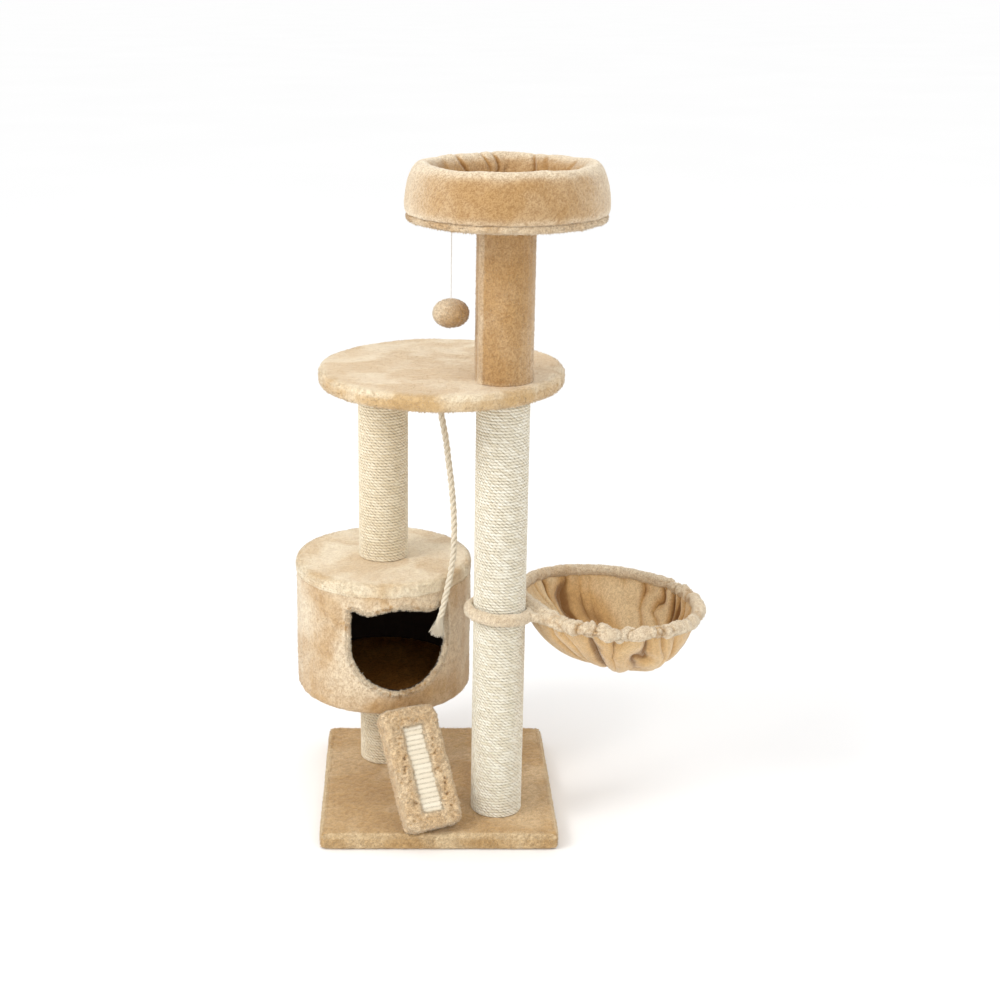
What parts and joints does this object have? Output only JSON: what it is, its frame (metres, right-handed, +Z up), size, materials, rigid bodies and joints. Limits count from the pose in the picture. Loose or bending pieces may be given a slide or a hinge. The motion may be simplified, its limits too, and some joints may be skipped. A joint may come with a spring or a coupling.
{
  "type": "cat tree",
  "caption": "Free-standing cat tree: square base, sisal posts, round condo with cat-head door and ramp, platform, bolstered perch, swivel hammock basket, rope and ball.",
  "frame": {"origin": "centre of the base board's underside, on the floor", "axes": "+Z up along the posts, +X towards the basket's side, -Y is the front with the door and the ramp"},
  "size_m": [0.702, 0.5081, 1.1355],
  "materials": {
    "plush": "short brushed sandy beige plush",
    "ball_plush": "darker beige plush wrapped round a soft ball",
    "sisal": "cream twisted sisal rope, matt and hairy",
    "cotton_rope": "off-white three-strand rope",
    "string": "thin white braided string",
    "board": "raw particle board",
    "cardboard": "spiral-wound kraft paper board",
    "steel": "zinc-plated steel"
  },
  "bodies": {
    "tree": {"ball_eye": "steel", "base_board": "board", "base_bolt_left": "steel", "base_bolt_right": "steel", "base_cover": "plush", "condo_cover": "plush", "condo_floor_board": "board", "condo_floor_bolt": "steel", "condo_floor_mat": "plush", "condo_roof_board": "board", "condo_roof_bolt": "steel", "condo_roof_cover": "plush", "condo_wall": "cardboard", "left_lower_post_bottom_plug": "board", "left_lower_post_sisal": "sisal", "left_lower_post_top_plug": "board", "left_lower_post_tube": "cardboard", "left_upper_post_bottom_plug": "board", "left_upper_post_sisal": "sisal", "left_upper_post_top_plug": "board", "left_upper_post_tube": "cardboard", "perch_board": "board", "perch_board_cover": "plush", "perch_bolster": "plush", "perch_bolt": "steel", "perch_cushion": "plush", "perch_post_bottom_plug": "board", "perch_post_plush": "plush", "perch_post_top_plug": "board", "perch_post_tube": "cardboard", "platform_board": "board", "platform_cover": "plush", "platform_stud_left": "steel", "platform_stud_right": "steel", "post_stud": "steel", "ramp_board": "board", "ramp_cover": "plush", "ramp_screw_left": "steel", "ramp_screw_right": "steel", "ramp_sisal": "sisal", "right_lower_post_bottom_plug": "board", "right_lower_post_sisal": "sisal", "right_lower_post_top_plug": "board", "right_lower_post_tube": "cardboard", "right_upper_post_bottom_plug": "board", "right_upper_post_sisal": "sisal", "right_upper_post_top_plug": "board", "right_upper_post_tube": "cardboard", "rope_eye": "steel"},
    "basket": {"basket_wire": "steel", "basket_rim_sleeve": "plush", "basket_collar_sleeve": "plush", "basket_bag": "plush"},
    "string_ring": {"string_ring": "steel"},
    "hanging_ball": {"string_loop": "string", "ball_string": "string", "toy_ball": "ball_plush"},
    "hanging_rope": {"rope_loop": "cotton_rope", "play_rope": "cotton_rope", "rope_tassel": "cotton_rope"}
  },
  "joints": [
    {"name": "basket_swivel", "type": "hinge", "parent": "tree", "child": "basket", "pos_m": [0.1, -0.103, 0.3945], "axis": [0, 0, 1], "range_deg": [-160, 28]},
    {"name": "ball_swing_side", "type": "hinge", "parent": "tree", "child": "string_ring", "pos_m": [0.015, -0.103, 1.0313], "axis": [0, 1, 0], "range_deg": [-3, 60]},
    {"name": "ball_swing_fore", "type": "hinge", "parent": "string_ring", "child": "hanging_ball", "pos_m": [0.015, -0.103, 1.0244], "axis": [1, 0, 0], "range_deg": [-60, 60]},
    {"name": "rope_swing", "type": "hinge", "parent": "tree", "child": "hanging_rope", "pos_m": [-0.002, -0.012, 0.7421], "axis": [0.6266, -0.7793, 0], "range_deg": [-50, 12]}
  ]
}
